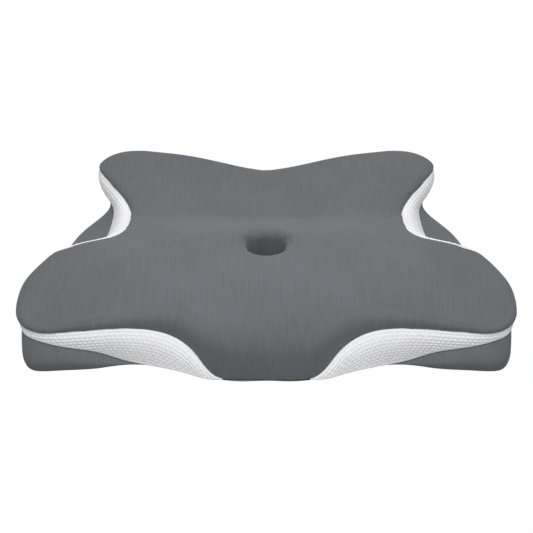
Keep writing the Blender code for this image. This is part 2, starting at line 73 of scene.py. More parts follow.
CREST_HEIGHT = 114
HOLLOW_Y = 149
HOLLOW_RADIUS = 24
HOLLOW_FLARE = 16
HOLLOW_DEPTH = 66
LINING_JOIN_DEPTH = 50
COVER = 1.2
LINER = 0.5
GAP = 0.3
ZIP_RADIUS = 660
ZIP_CENTRE_Y = 1048
ZIP_Z = 41
ZIP_OPENING = 22
ZIP_FLAT_X = 186
TEETH_ANGLE = math.radians(14.2)
SLIDER_REST = math.radians(-13.6)
SLIDER_FRONT = 2.55         # the slider's front face, out from the zip's arc
STOP_LENGTH = 3.5
STOP_HEIGHT = 5

COLUMN_SPACING = 4.3        # of the cover's large panels, along the seam
MESH_SPACING = 1.25         # of the white side panels, fine enough for their dimples
SEAM_ROLL = 1.3             # radius of a panel's turned-in edge
LINING_ROLL = 0.8
SEAM_GAP = 0.2              # between two panels' edges, before they turn in
ALLOWANCE = 3.0             # cloth that runs inward past a turned edge
SLACK = 0.012               # how much larger the simulated cloth is than the surface it covers
MOST_LIFT = 0.7             # the cover is snug, so its cloth stands off the foam no further than this
SIMULATED_FRAMES = 16
RIB_PITCH = 2.7             # of the knit's ribs, and of the rows of loops across them
COURSE_PITCH = 1.35
FLOOR_RETREAT = 6           # how far the inner layers step back in the cover's narrow places
TAB_RETREAT = 8
UNDER_MESH = 1.4            # how deep a tab's end lies under the white panel beside it
LIGHTEST = 0.92             # no fabric or foam reflects more than this share of the light
DIMPLE_ACROSS = 6.2         # size and height of the white mesh's pads
DIMPLE_DOWN = 5.2
DIMPLE_HEIGHT = 0.9
NEAR_SEAM = (0.06, 0.22, 0.5, 0.85, 1.3, 1.9, 2.7, 3.7, 5.0)    # distances from a seam where rows stand


# ---- frame
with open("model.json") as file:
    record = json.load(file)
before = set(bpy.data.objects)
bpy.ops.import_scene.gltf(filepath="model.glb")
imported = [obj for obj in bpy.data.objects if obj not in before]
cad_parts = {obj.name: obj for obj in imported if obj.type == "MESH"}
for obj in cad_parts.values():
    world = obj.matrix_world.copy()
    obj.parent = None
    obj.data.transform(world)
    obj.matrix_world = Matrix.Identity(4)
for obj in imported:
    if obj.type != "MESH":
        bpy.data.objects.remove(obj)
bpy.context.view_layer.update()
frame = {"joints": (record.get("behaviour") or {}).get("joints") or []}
ZIP_TRAVEL = next(joint for joint in frame["joints"] if joint["name"] == "zip_travel")
Y_MIDDLE = ZIP_CENTRE_Y - ZIP_TRAVEL["pos_m"][1] / MM


def to_frame(points):
    """Millimetres from the front edge, as metres in the frame."""
    return (np.asarray(points, float) + [0, -Y_MIDDLE, 0]) * MM


# ---- the pillow's surface
def smooth(value):
    """0 to 1 with level ends."""
    value = np.clip(value, 0, 1)
    return value * value * (3 - 2 * value)


def top_height(x, y):
    """Height of the top: a neck roll at the front, a dip for the head behind it, and a lower rear rim."""
    width = np.abs(x)
    crest = CREST_HEIGHT - 18 * (width / 300) ** 1.7
    crest_y = np.minimum(100 + 48 * (width / 220) ** 1.2, 150)
    crest_back_y = np.maximum(crest_y, 142)
    dip_y = 285
    dip = 65 + 12 * (width / 200) ** 2
    rear_rim = 87.5 - 19.5 * np.exp(-((width / 75) ** 2))
    steepness = 0.003 - 0.0009 * smooth((width - 150) / 120) + 0.0021 * np.exp(-((width / 110) ** 2))
    front = crest - steepness * np.maximum(crest_y - y, 0) ** 2
    middle = crest + (dip - crest) * smooth((y - crest_back_y) / (dip_y - crest_back_y))
    rear = dip + (rear_rim - dip) * smooth((y - dip_y) / 145)
    wing_fall = 14 * smooth((width - 200) / 120) + 5 * smooth((width - 225) / 80) * smooth((y - 85) / 70)
    return np.where(y < crest_y, front, np.where(y < dip_y, middle, rear)) - wing_fall


def full_loop(column):
    """One column of the station table, with the left half mirrored from the right."""
    right = np.array([np.atleast_1d(station[column]) for station in STATIONS], float)
    if right.shape[1] == 1:
        right = np.hstack([np.zeros_like(right), right])
    left = right[1:-1][::-1] * ([-1] + [1] * (right.shape[1] - 1))
    return np.vstack([right, left])


def loop_knots(points):
    """Cumulative share of the loop's length at each station."""
    steps = np.linalg.norm(np.roll(points, -1, 0) - points, axis=1)
    return np.concatenate([[0], np.cumsum(steps)]) / steps.sum()


def periodic_spline(knots, points):
    """A closed cubic spline through the points, as a function of the share of the loop's length."""
    count = len(points)
    spans = np.diff(knots)
    matrix = np.zeros((count, count))
    right_side = np.zeros_like(points)
    for i in range(count):
        before, after = spans[i - 1], spans[i]
        following = (i + 1) % count
        matrix[i, i - 1] += before
        matrix[i, i] += 2 * (before + after)
        matrix[i, following] += after
        rise_after, rise_before = points[following] - points[i], points[i] - points[i - 1]
        right_side[i] = 6 * (rise_after / after - rise_before / before)
    bend = np.linalg.solve(matrix, right_side)

    def evaluate(share):
        share = np.mod(share, 1)
        i = np.clip(np.searchsorted(knots, share, side="right") - 1, 0, count - 1)
        following = (i + 1) % count
        a = ((knots[i + 1] - share) / spans[i])[:, None]
        b = 1 - a
        sixth = (spans[i] ** 2)[:, None] / 6
        straight = a * points[i] + b * points[following]
        return straight + ((a ** 3 - a) * bend[i] + (b ** 3 - b) * bend[following]) * sixth

    return evaluate


KNOTS = loop_knots(full_loop(2))
LOOP_LENGTH = np.linalg.norm(np.diff(np.vstack([full_loop(2), full_loop(2)[:1]]), axis=0), axis=1).sum()
EDGE, TOP_SEAM, LOW_SEAM, LOBE, BULGE = (periodic_spline(KNOTS, full_loop(column)) for column in range(1, 6))


def zip_arc_y(x):
    """Where the zip's arc is at x. Past its ends it runs on level."""
    return ZIP_CENTRE_Y - np.sqrt(ZIP_RADIUS ** 2 - np.minimum(np.abs(x), ZIP_FLAT_X) ** 2)


def outward(curve, share):
    """Level unit normals of a closed curve, pointing away from the pillow."""
    step = 0.002
    run = (curve(share + step) - curve(share - step))[:, :2]
    run /= np.linalg.norm(run, axis=1)[:, None]
    return np.stack([run[:, 1], -run[:, 0], np.zeros(len(share))], 1)


def bezier(a, b, c, d, count):
    """Points along a cubic between a and d, as rows that start at a."""
    t = np.linspace(0, 1, count)[:, None, None]
    return (1 - t) ** 3 * a + 3 * (1 - t) ** 2 * t * b + 3 * (1 - t) * t * t * c + t ** 3 * d


def shares(first, last, spacing):
    """Shares of the loop's length from one station count to another, about a spacing apart."""
    stations = np.arange(LOOP_STATIONS + 1)
    start, end = np.interp([first, last], stations, KNOTS)
    count = max(int(round((end - start) * LOOP_LENGTH / spacing)), 2)
    return np.linspace(start, end, count + 1)


def station_counts(share):
    """Station counts from the front centre for shares of the loop, the same on both sides."""
    return np.interp(np.minimum(share, 1 - share), KNOTS, np.arange(LOOP_STATIONS + 1))


def whole_loop(spacing):
    """Shares all round the loop, with a column at each panel's ends."""
    right = [0, *FRONT_PANEL, *REAR_PANEL, ZIP_TAB[1], LOOP_STATIONS / 2]
    marks = right + [LOOP_STATIONS - mark for mark in right[-2::-1]]
    return np.concatenate([shares(first, last, spacing)[:-1] for first, last in zip(marks, marks[1:])])


MOUTH = float(top_height(np.array(0.0), np.array(float(HOLLOW_Y))))      # height of the top at the hollow


def profile_curve(a, b, c, d, count):
    """A cubic through pairs of radius and height."""
    return bezier(*(np.array(point, float) for point in (a, b, c, d)), count)[:, 0]


def sections(share):
    """The lines that shape the pillow, each with a point for every share."""
    seam, low_seam = TOP_SEAM(share), LOW_SEAM(share)
    on_arc = (np.abs(seam[:, 0]) < ZIP_FLAT_X) & (seam[:, 1] > ZIP_CENTRE_Y - ZIP_RADIUS - 1)
    for line, side in ((seam, 0.5), (low_seam, -0.5)):
        line[on_arc, 0] = seam[on_arc, 0]
        line[on_arc, 1] = zip_arc_y(seam[on_arc, 0])
        line[on_arc, 2] = ZIP_Z + side * ZIP_OPENING
    low_seam[:, 2] = np.minimum(low_seam[:, 2], seam[:, 2] - SEAM_GAP)
    seam_out, lobe_out = outward(TOP_SEAM, share), outward(LOBE, share)
    edge_out = outward(EDGE, share) + seam_out
    edge_out /= np.linalg.norm(edge_out, axis=1)[:, None]
    edge_xy = EDGE(share)
    edge = np.column_stack([edge_xy, top_height(*edge_xy.T)])
    inside = edge - 2 * edge_out
    fall = (edge[:, 2] - top_height(inside[:, 0], inside[:, 1]))[:, None] / 2
    widest = seam + seam_out * BULGE(share)[:, 1:]
    widest[:, 2] += 0.38 * (edge[:, 2] - seam[:, 2])
    lobe_height = np.minimum(15, low_seam[:, 2] * 0.55)
    lobe = np.column_stack([LOBE(share), lobe_height])
    foot = lobe - lobe_out * np.minimum(5.5, 0.4 + lobe_height * 0.45)[:, None]
    foot[:, 2] = 0
    return SimpleNamespace(seam=seam, low_seam=low_seam, seam_out=seam_out, edge=edge, edge_out=edge_out,
                           fall=fall, widest=widest, lobe=lobe, lobe_out=lobe_out, foot=foot)


def resample(rows, distances):
    """Rows at given distances along each column of a dense grid. distances has a row of them per column."""
    steps = np.linalg.norm(np.diff(rows, axis=0), axis=2)
    along = np.vstack([np.zeros(rows.shape[1]), np.cumsum(steps, 0)])
    result = np.empty((distances.shape[0], *rows.shape[1:]))
    for column in range(rows.shape[1]):
        for axis in range(3):
            result[:, column, axis] = np.interp(distances[:, column], along[:, column], rows[:, column, axis])
    return result


def lengths(rows):
    """Length of each column."""
    return np.linalg.norm(np.diff(rows, axis=0), axis=2).sum(0)


def seam_distances(length, count, at_start, at_end):
    """Distances along columns of these lengths, crowded near an end that is a seam."""
    near = np.array(NEAR_SEAM)[:, None] * np.minimum(1, length / (2.4 * NEAR_SEAM[-1]))
    low = near[-1] if at_start else np.zeros_like(length)
    high = length - near[-1] if at_end else length
    middle = low + (high - low) * np.linspace(0, 1, count)[:, None]
    first = near[:-1] if at_start else near[:0]
    last = (length - near[:-1])[::-1] if at_end else near[:0]
    return np.vstack([first, middle, last])


def grid_normals(rows, wrap):
    """Outward unit normals of a grid whose rows run down and whose columns run round the pillow."""
    down = np.gradient(rows, axis=0)
    if wrap:
        along = np.roll(rows, -1, 1) - np.roll(rows, 1, 1)
    else:
        along = np.gradient(rows, axis=1)
    normals = np.cross(down, along)
    return normals / np.maximum(np.linalg.norm(normals, axis=2), 1e-9)[..., None]


def turned_in(rows, flat, wrap, start=None, end=None):
    """The grid with its seam edges rolled inward, each followed by its seam allowance.

    start and end are a roll's radius and the seam's own level outward normals, or None for no seam.
    Two panels that share a seam sink along the same normals there, so they meet without a gap.
    """
    normals = grid_normals(rows, wrap)
    steps = np.linalg.norm(np.diff(rows, axis=0), axis=2)
    along = np.vstack([np.zeros(rows.shape[1]), np.cumsum(steps, 0)])
    hem = ALLOWANCE * np.minimum(1, along[-1] / 12)[:, None]
    turned = rows.copy()
    for seam, distance in ((start, along), (end, along[-1] - along)):
        if seam:
            roll, shared = seam
            radius = np.minimum(roll, 0.42 * along[-1])
            across = np.clip(1 - distance / radius, 0, 1)
            weight = smooth(across)[..., None]
            direction = normals * (1 - weight) + shared * weight
            direction /= np.linalg.norm(direction, axis=2)[..., None]
            turned -= direction * (radius * (1 - np.sqrt(1 - across ** 2)))[..., None]
    if start:
        turned = np.concatenate([turned[:1] - start[1] * hem, turned])
        flat = np.concatenate([flat[:1] - (flat[1:2] - flat[:1]), flat])
    if end:
        turned = np.concatenate([turned, turned[-1:] - end[1] * hem])
        flat = np.concatenate([flat, flat[-1:] + (flat[-1:] - flat[-2:-1])])
    return turned, flat


def uneven(rows, height, size):
    """Slow unevenness of cloth over foam, as a move along the normals of a grid that goes all round."""
    moves = np.array([noise.noise(Vector(point) / size) for point in rows.reshape(-1, 3)]) * height
    return rows + grid_normals(rows, True) * moves.reshape(rows.shape[:2])[..., None]


def top_panel(share, side_rows=20, top_rows=44):
    """The top panel from the lining's join to the upper seam, and each point's place on the flat cloth."""
    lines = sections(share)
    up = np.array([0, 0, 1.0])
    angle = np.arctan2(lines.edge[:, 1] - HOLLOW_Y, lines.edge[:, 0])
    wall_top = (HOLLOW_RADIUS + 3, -14)
    join = (HOLLOW_RADIUS, -LINING_JOIN_DEPTH)
    shaft = profile_curve(join, (HOLLOW_RADIUS, -40), (HOLLOW_RADIUS + 1, -28), wall_top, 10)
    rim_curve = profile_curve(wall_top, (HOLLOW_RADIUS + 4, -7), (HOLLOW_RADIUS + 10.5, 0),
                              (HOLLOW_RADIUS + HOLLOW_FLARE, 0), 16)
    flare = np.concatenate([shaft, rim_curve[1:]])
    wall = []
    for number, (radius, drop) in enumerate(flare):
        x = radius * np.cos(angle)
        y = HOLLOW_Y + radius * np.sin(angle)
        follow = smooth(number / len(shaft))
        wall.append(np.column_stack([x, y, MOUTH + (top_height(x, y) - MOUTH) * follow + drop]))
    rim = wall[-1]
    top = []
    for part in np.linspace(0, 1, top_rows)[1:]:
        xy = rim[:, :2] + (lines.edge[:, :2] - rim[:, :2]) * part
        top.append(np.column_stack([xy, top_height(*xy.T)]))
    edge, widest, seam = lines.edge, lines.widest, lines.seam
    reach = np.linalg.norm(widest[:, :2] - edge[:, :2], axis=1)[:, None] * 0.55
    drop = (edge[:, 2] - widest[:, 2])[:, None]
    under = (widest[:, 2] - seam[:, 2])[:, None]
    away = lines.edge_out + up * lines.fall
    roll = bezier(edge, edge + away * reach, widest + up * drop * 0.55, widest, 30)
    tuck = bezier(widest, widest - up * under * 0.5, seam + (widest - seam) * 0.35, seam, 16)
    side = np.concatenate([roll, tuck[1:]])
    span = np.linalg.norm(seam - edge, axis=1)[:, None]
    shallow = bezier(edge, edge + away * span * 0.4, seam + (up * 0.22 - lines.seam_out) * span * 0.4, seam,
                     len(side))
    # A curve that drops straight would fold where the edge is hardly higher than the seam.
    steep = smooth((edge[:, 2] - seam[:, 2] - 4) / 8)[:, None]
    side = shallow + (side - shallow) * steep
    side = resample(side, seam_distances(lengths(side), side_rows, False, True))
    rows = np.concatenate([wall, top, side[1:]])
    flat = rows[..., :2].copy()
    start = len(wall) + len(top) - 1
    down = np.cumsum(np.linalg.norm(np.diff(rows[start:], axis=0), axis=2), 0)
    flat[start + 1:] = lines.edge[:, :2] + lines.edge_out[:, :2] * down[..., None]
    return uneven(rows, 0.7, 55), flat


def simulated(rows):
    """How far the panel's cloth moves off the foam when its slack settles.

    A coarse copy of the panel is simulated. It is held at its seams and a little larger than the surface, as
    cloth fed unevenly into a seam is.
    """
    down, along = 2, 3
    coarse = rows[::down, ::along]
    height, count = coarse.shape[:2]
    panel = piece_from_grid("simulated_panel", coarse, coarse[..., :2], None, True, thickness=0)
    held = panel.vertex_groups.new(name="held")
    for row in (0, 1, 2, height - 2, height - 1):
        held.add(list(range(row * count, (row + 1) * count)), 1.0, "REPLACE")
    cloth = panel.modifiers.new("cloth", "CLOTH")
    settings = cloth.settings
    fabric = {"quality": 6, "mass": 0.25, "tension_stiffness": 20, "compression_stiffness": 12,
              "shear_stiffness": 8, "bending_stiffness": 1.5, "shrink_min": -SLACK, "shrink_max": -SLACK}
    for key, value in fabric.items():
        setattr(settings, key, value)
    settings.effector_weights.gravity = 0
    settings.use_pressure = True
    settings.uniform_pressure_force = 0.6
    settings.vertex_group_mass = "held"
    cloth.point_cache.frame_start = 1
    cloth.point_cache.frame_end = SIMULATED_FRAMES
    for frame_number in range(1, SIMULATED_FRAMES + 1):
        bpy.context.scene.frame_set(frame_number)
    settled = panel.evaluated_get(bpy.context.evaluated_depsgraph_get())
    places = np.empty(3 * len(settled.data.vertices))
    settled.data.vertices.foreach_get("co", places)
    before = to_frame(coarse.reshape(-1, 3))
    moved = ((places.reshape(-1, 3) - before) / MM).reshape(coarse.shape)
    bpy.data.objects.remove(panel)
    bpy.context.scene.frame_set(1)
    lift = np.clip((moved * grid_normals(coarse, True)).sum(2), -0.2, MOST_LIFT)
    columns = np.arange(rows.shape[1]) / along
    around = np.arange(count + 1)
    wide = np.array([np.interp(columns, around, np.append(line, line[0])) for line in lift])
    lines = np.arange(rows.shape[0]) / down
    return np.array([np.interp(lines, np.arange(height), column) for column in wide.T]).T


def bottom_panel(share, ledge_rows=22):
    """The bottom panel from the lower seam to the underside's middle, and its places on the flat cloth."""
    lines = sections(share)
    up = np.array([0, 0, 1.0])
    lobe, foot = lines.lobe, lines.foot
    # Where the seam is on the floor, the panel starts a little way under the white one.
    under_white = 3 * smooth((3 - lines.low_seam[:, 2]) / 2)[:, None]
    seam = lines.low_seam - lines.seam_out * under_white
    level = (lobe - seam) * [1, 1, 0]
    lift = up * ((seam[:, 2] - lobe[:, 2]) * 0.4)[:, None]
    ledge = bezier(seam, seam + level * 0.45, lobe + lift, lobe, 30)
    height = lobe[:, 2:]
    heel_out = lines.lobe_out * np.minimum(3, height * 0.3)
    heel = bezier(lobe, lobe - up * height * 0.55, foot + heel_out, foot, 12)
    side = np.concatenate([ledge, heel[1:]])
    side = resample(side, seam_distances(lengths(side), ledge_rows, True, False))
    middle = np.array([0, HOLLOW_Y, 0.0])
    base = [middle + (foot - middle) * part for part in (0.985, 0.95, 0.88, 0.76, 0.6, 0.4, 0.2, 0.06)]
    rows = np.concatenate([side, base])
    flat = rows[..., :2].copy()
    rise = np.cumsum(np.linalg.norm(np.diff(side[::-1], axis=0), axis=2), 0)[::-1]
    flat[:len(side) - 1] = foot[:, :2] + lines.lobe_out[:, :2] * rise[..., None]
    return rows, flat


def side_band(share, fullness, count):
    """A panel between the two seams, fuller towards the upper one, and its places on the flat cloth."""
    lines = sections(share)
    high, low = lines.seam, lines.low_seam
    down = low - high
    height = np.linalg.norm(down, axis=1)
    out = np.cross(down, np.gradient(high, axis=0))
    out /= np.linalg.norm(out, axis=1)[:, None]
    along = np.concatenate([[0], np.cumsum(np.linalg.norm(np.diff((high + low) / 2, axis=0), axis=1))])
    from_end = np.minimum(along, along[-1] - along)
    puff = out * (np.minimum(fullness * height, 13) * smooth(from_end / 22))[:, None]
    band = bezier(high, high + down * 0.28 + puff, low - down * 0.33 + puff * 0.35, low, 40)
    length = lengths(band)
    rows = resample(band, seam_distances(length, count, True, True))
    steps = np.linalg.norm(np.diff(rows, axis=0), axis=2)
    across = np.vstack([np.zeros(len(share)), np.cumsum(steps, 0)])
    flat = np.stack([np.broadcast_to(along, across.shape), across], 2)
    return rows, flat


# ---- meshes
def new_object(name, data):
    made = bpy.data.objects.new(name, data)
    bpy.context.scene.collection.objects.link(made)
    return made


def piece_from_grid(name, rows, flat, finish, wrap, thickness=COVER, cap_start=False, cap_end=False):
    """A mesh on a grid of points, given a thickness inward. A cap closes a ring with a fan."""
    count = rows.shape[1]
    points = [rows.reshape(-1, 3)]
    cloth = [flat.reshape(-1, 2)]
    r, c = np.meshgrid(np.arange(len(rows) - 1), np.arange(count if wrap else count - 1), indexing="ij")
    following = (c + 1) % count
    start, below = r * count, (r + 1) * count
    faces = np.stack([start + c, below + c, below + following, start + following], -1)
    faces = faces.reshape(-1, 4).tolist()
    for used, row, turn in ((cap_start, 0, 1), (cap_end, len(rows) - 1, -1)):
        if used:
            centre = sum(len(part) for part in points)
            points.append(rows[row].mean(0)[None])
            cloth.append(flat[row].mean(0)[None])
            for i in range(count):
                pair = (row * count + i, row * count + (i + 1) % count)[::turn]
                faces.append((centre, *pair))
    mesh = bpy.data.meshes.new(name)
    mesh.from_pydata(to_frame(np.vstack(points)).tolist(), [], faces)
    places = mesh.attributes.new("cloth", "FLOAT_VECTOR", "POINT")
    flat_places = np.hstack([np.vstack(cloth), np.zeros((len(mesh.vertices), 1))])
    places.data.foreach_set("vector", flat_places.astype(np.float32).ravel())
    mesh.shade_smooth()
    if finish:
        mesh.materials.append(finish)
    made = new_object(name, mesh)
    if thickness:
        shell = made.modifiers.new("thickness", "SOLIDIFY")
        shell.thickness = thickness * MM
        shell.offset = -1
    return made


def settle(piece, slot, *nodes, body="pillow"):
    """The piece rides on its body and stands for these CAD nodes. The slot is not used."""
    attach(piece, body)
    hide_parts(*nodes)
    return piece


# ---- materials
def material(name, colour, roughness, metallic=0.0, sheen=0.0):
    """A material, its node tree and its Principled shader."""
    made = bpy.data.materials.new(name)
    made.use_nodes = True
    shader = made.node_tree.nodes["Principled BSDF"]
    values = {"Base Color": (*colour, 1), "Roughness": roughness, "Metallic": metallic, "Sheen Weight": sheen,
              "Sheen Roughness": 0.45}
    for key, value in values.items():
        shader.inputs[key].default_value = value
    return made, made.node_tree, shader


def feed(tree, value, socket):
    """Links an output to an input, or sets the input's own value."""
    if isinstance(value, bpy.types.NodeSocket):
        tree.links.new(value, socket)
    else:
        socket.default_value = value


def node(tree, kind, inputs=None, **settings):
    """A new node with these settings, and its named inputs linked or set."""
    made = tree.nodes.new(kind)
    for key, value in settings.items():
        setattr(made, key, value)
    for name, value in (inputs or {}).items():
        feed(tree, value, made.inputs[name])
    return made


def maths(tree, operation, *values):
    made = node(tree, "ShaderNodeMath", operation=operation)
    for value, socket in zip(values, made.inputs):
        feed(tree, value, socket)
    return made.outputs[0]


def plus(tree, first, second):
    return maths(tree, "ADD", first, second)


def times(tree, first, second):
    return maths(tree, "MULTIPLY", first, second)


def wave(tree, value, period):
    return maths(tree, "SINE", times(tree, value, math.tau / period))


def noise_value(tree, vector, scale, detail=2.0, roughness=0.5):
    inputs = {"Vector": vector, "Scale": scale, "Detail": detail, "Roughness": roughness}
    return node(tree, "ShaderNodeTexNoise", inputs).outputs["Fac"]


def cloth_place(tree):
    """The point's place on the flat cloth, in millimetres: the vector, and its two parts."""
    place = node(tree, "ShaderNodeAttribute", attribute_name="cloth")
    parts = node(tree, "ShaderNodeSeparateXYZ")
    tree.links.new(place.outputs["Vector"], parts.inputs[0])
    return place.outputs["Vector"], parts.outputs["X"], parts.outputs["Y"]


def tint(tree, shader, value, low, high, colour, dark=1.0, light=1.0):
    """The base colour goes from a darker to a lighter shade as the value goes from low to high."""
    share = node(tree, "ShaderNodeMapRange", {"Value": value, "From Min": low, "From Max": high})
    mix = node(tree, "ShaderNodeMix", data_type="RGBA")
    feed(tree, share.outputs["Result"], mix.inputs["Factor"])
    feed(tree, (*(part * dark for part in colour), 1), mix.inputs["A"])
    feed(tree, (*(min(part * light, LIGHTEST) for part in colour), 1), mix.inputs["B"])
    tree.links.new(mix.outputs["Result"], shader.inputs["Base Color"])


def roughen(tree, shader, value, factor, least):
    tree.links.new(plus(tree, times(tree, value, factor), least), shader.inputs["Roughness"])


def bump(tree, shader, height, distance_mm):
    made = node(tree, "ShaderNodeBump", {"Strength": 1.0, "Distance": distance_mm * MM, "Height": height})
    tree.links.new(made.outputs["Normal"], shader.inputs["Normal"])


def knit_material(name, colour, roughness=0.88):
    """Fine ribbed knit: ribs along the cloth's y, rows of loops across them, and a heathered yarn."""
    made, tree, shader = material(name, colour, roughness, sheen=0.12)
    place, across, along = cloth_place(tree)
    wander = times(tree, noise_value(tree, place, 0.05), 1.6)
    rib = maths(tree, "ABSOLUTE", wave(tree, plus(tree, across, wander), 2 * RIB_PITCH))
    rib_height = maths(tree, "POWER", rib, 0.6)
    relief = plus(tree, rib_height, times(tree, wave(tree, along, COURSE_PITCH), 0.10))
    dimples = times(tree, wave(tree, across, 8.1), wave(tree, along, 7.0))
    relief = plus(tree, relief, times(tree, dimples, 0.16))
    yarn = noise_value(tree, place, 1.1, detail=3.0, roughness=0.65)
    relief = plus(tree, relief, times(tree, yarn, 0.35))
    bump(tree, shader, relief, 0.32)
    stretched = node(tree, "ShaderNodeVectorMath", operation="MULTIPLY")
    feed(tree, place, stretched.inputs[0])
    feed(tree, (1.0, 0.06, 1.0), stretched.inputs[1])
    streaks = noise_value(tree, stretched.outputs[0], 0.42, detail=4.0, roughness=0.7)
    patches = noise_value(tree, place, 0.012, detail=2.0)
    tone = plus(tree, times(tree, streaks, 0.5), times(tree, patches, 0.25))
    # Painted shade: the grooves between the ribs are coloured darker than the rib tops. The streaks, patches
    # and yarn noise are random tone.
    tone = plus(tree, tone, times(tree, rib_height, 0.22))
    tone = plus(tree, tone, times(tree, yarn, 0.16))
    tint(tree, shader, tone, 0.33, 0.88, colour, dark=0.66, light=1.32)
    roughen(tree, shader, yarn, 0.14, roughness - 0.07)
    return made


def mesh_material(name, colour):
    """White air mesh: small open pores between raised yarn."""
    made, tree, shader = material(name, colour, 0.8, sheen=0.2)
    place, _, _ = cloth_place(tree)
    cells = node(tree, "ShaderNodeTexVoronoi", feature="SMOOTH_F1")
    for name, value in (("Vector", place), ("Scale", 0.72), ("Randomness", 0.35), ("Smoothness", 0.3)):
        feed(tree, value, cells.inputs[name])
    pore = cells.outputs["Distance"]
    yarn = noise_value(tree, place, 2.2, detail=3.0, roughness=0.6)
    bump(tree, shader, plus(tree, pore, times(tree, yarn, 0.35)), 0.25)
    # Painted shade: the pores are coloured darker than the raised yarn around them. The yarn noise adds
    # random tone.
    tone = plus(tree, times(tree, pore, 0.8), times(tree, yarn, 0.35))
    tint(tree, shader, tone, 0.25, 0.75, colour, dark=0.80, light=1.08)
    roughen(tree, shader, yarn, 0.2, 0.7)
    return made


def plain_cloth_material(name, colour, pitch, depth):
    """Woven or jersey cloth: two crossed sets of threads."""
    made, tree, shader = material(name, colour, 0.85, sheen=0.1)
    place, across, along = cloth_place(tree)
    weave = times(tree, wave(tree, across, pitch), wave(tree, along, pitch))
    fibre = noise_value(tree, place, 2.5, detail=3.0)
    bump(tree, shader, plus(tree, weave, fibre), depth)
    tone = plus(tree, times(tree, weave, 0.2), fibre)
    tint(tree, shader, tone, 0.25, 0.8, colour, dark=0.85, light=1.12)
    return made


def foam_material(name, colour):
    """Open-cell foam: fine cells and a few larger bubbles under a moulded skin."""
    made, tree, shader = material(name, colour, 0.92)
    place, _, _ = cloth_place(tree)
    cells = node(tree, "ShaderNodeTexVoronoi", {"Vector": place, "Scale": 1.1})
    fine = noise_value(tree, place, 1.8, detail=4.0, roughness=0.7)
    height = plus(tree, cells.outputs["Distance"], fine)
    bump(tree, shader, height, 0.3)
    tint(tree, shader, height, 0.4, 1.2, colour, dark=0.86, light=1.06)
    return made


def metal_material(name, colour):
    """Enamelled die-cast metal with faint pitting."""
    made, tree, shader = material(name, colour, 0.35, metallic=0.85)
    place = node(tree, "ShaderNodeTexCoord").outputs["Object"]
    grain = noise_value(tree, place, 900.0, detail=3.0)
    bump(tree, shader, grain, 0.02)
    roughen(tree, shader, grain, 0.25, 0.22)
    wear = noise_value(tree, place, 260.0, detail=4.0, roughness=0.7)
    tint(tree, shader, wear, 0.45, 0.75, colour, light=1.35)
    return made


def plastic_material(name, colour):
    """The moulded coil's nylon."""
    made, tree, shader = material(name, colour, 0.42)
    place = node(tree, "ShaderNodeTexCoord").outputs["Object"]
    grain = noise_value(tree, place, 700.0, detail=2.0)
    roughen(tree, shader, grain, 0.2, 0.32)
    tint(tree, shader, grain, 0.35, 0.7, colour, light=1.3)
    return made


# ---- cover
def build_cover(finishes):
    loop = whole_loop(COLUMN_SPACING)
    rows, flat = top_panel(loop)
    rows = rows + grid_normals(rows, True) * simulated(rows)[..., None]
    seam_out = outward(TOP_SEAM, loop)
    lining_join = (LINING_ROLL, towards_hollow(rows[0]))
    rows, flat = turned_in(rows, flat, True, start=lining_join, end=(SEAM_ROLL, seam_out))
    top = settle(piece_from_grid("top_panel", rows, flat, finishes["grey_knit"], True), "grey_knit",
                 "cover_top_panel")
    rows, flat = bottom_panel(loop)
    rows, flat = turned_in(rows, flat, True, start=(SEAM_ROLL, seam_out))
    room = COVER * np.maximum(0, grid_normals(rows, True)[..., 2])
    rows[..., 2] = np.maximum(rows[..., 2], room)
    bottom = settle(piece_from_grid("bottom_panel", rows, flat, finishes["grey_knit"], True, cap_end=True),
                    "grey_knit", "cover_bottom_panel")


def dimple_height(flat, length):
    """Raised pads in staggered rows, fading out towards the panel's edges."""
    across, down = flat[..., 0], flat[..., 1]
    row = np.floor(down / DIMPLE_DOWN)
    u = (across / DIMPLE_ACROSS + 0.5 * np.mod(row, 2)) % 1 - 0.5
    v = (down / DIMPLE_DOWN) % 1 - 0.5
    pad = np.clip(1 - (u / 0.5) ** 2 - (v / 0.5) ** 2, 0, 1) ** 0.7
    from_edge = np.minimum(down, length - down)
    return DIMPLE_HEIGHT * pad * smooth((from_edge - 2) / 3)


def edge_ridge(distance, height):
    """The seam allowance folded behind a panel's edge lifts a narrow ridge beside the seam."""
    return height * np.exp(-((distance - 2.3) / 1.5) ** 2)


def build_side_panels(finishes):
    for place, limits, count, fullness in (("front", FRONT_PANEL, 34, 0.2), ("rear", REAR_PANEL, 44, 0.28)):
        for side, turned in (("right", False), ("left", True)):
            first, last = sorted((LOOP_STATIONS - limit if turned else limit) for limit in limits)
            share = shares(first, last, MESH_SPACING)
            rows, flat = side_band(share, fullness, count)
            length = flat[-1, :, 1]
            lift = dimple_height(flat, length)
            thin = np.minimum(1, length / 12)
            lift += thin * edge_ridge(flat[..., 1], 0.9)
            lift += thin * edge_ridge(length - flat[..., 1], 0.6)
            rows = rows + grid_normals(rows, False) * lift[..., None]
            seam = (SEAM_ROLL, outward(TOP_SEAM, share))
            rows, flat = turned_in(rows, flat, False, start=seam, end=seam)
            name = f"{place}_{side}_side_panel"
            panel = piece_from_grid(f"{place}_{side}_mesh_panel", rows, flat, finishes["white_mesh"], False)
            settle(panel, "white_mesh", name)


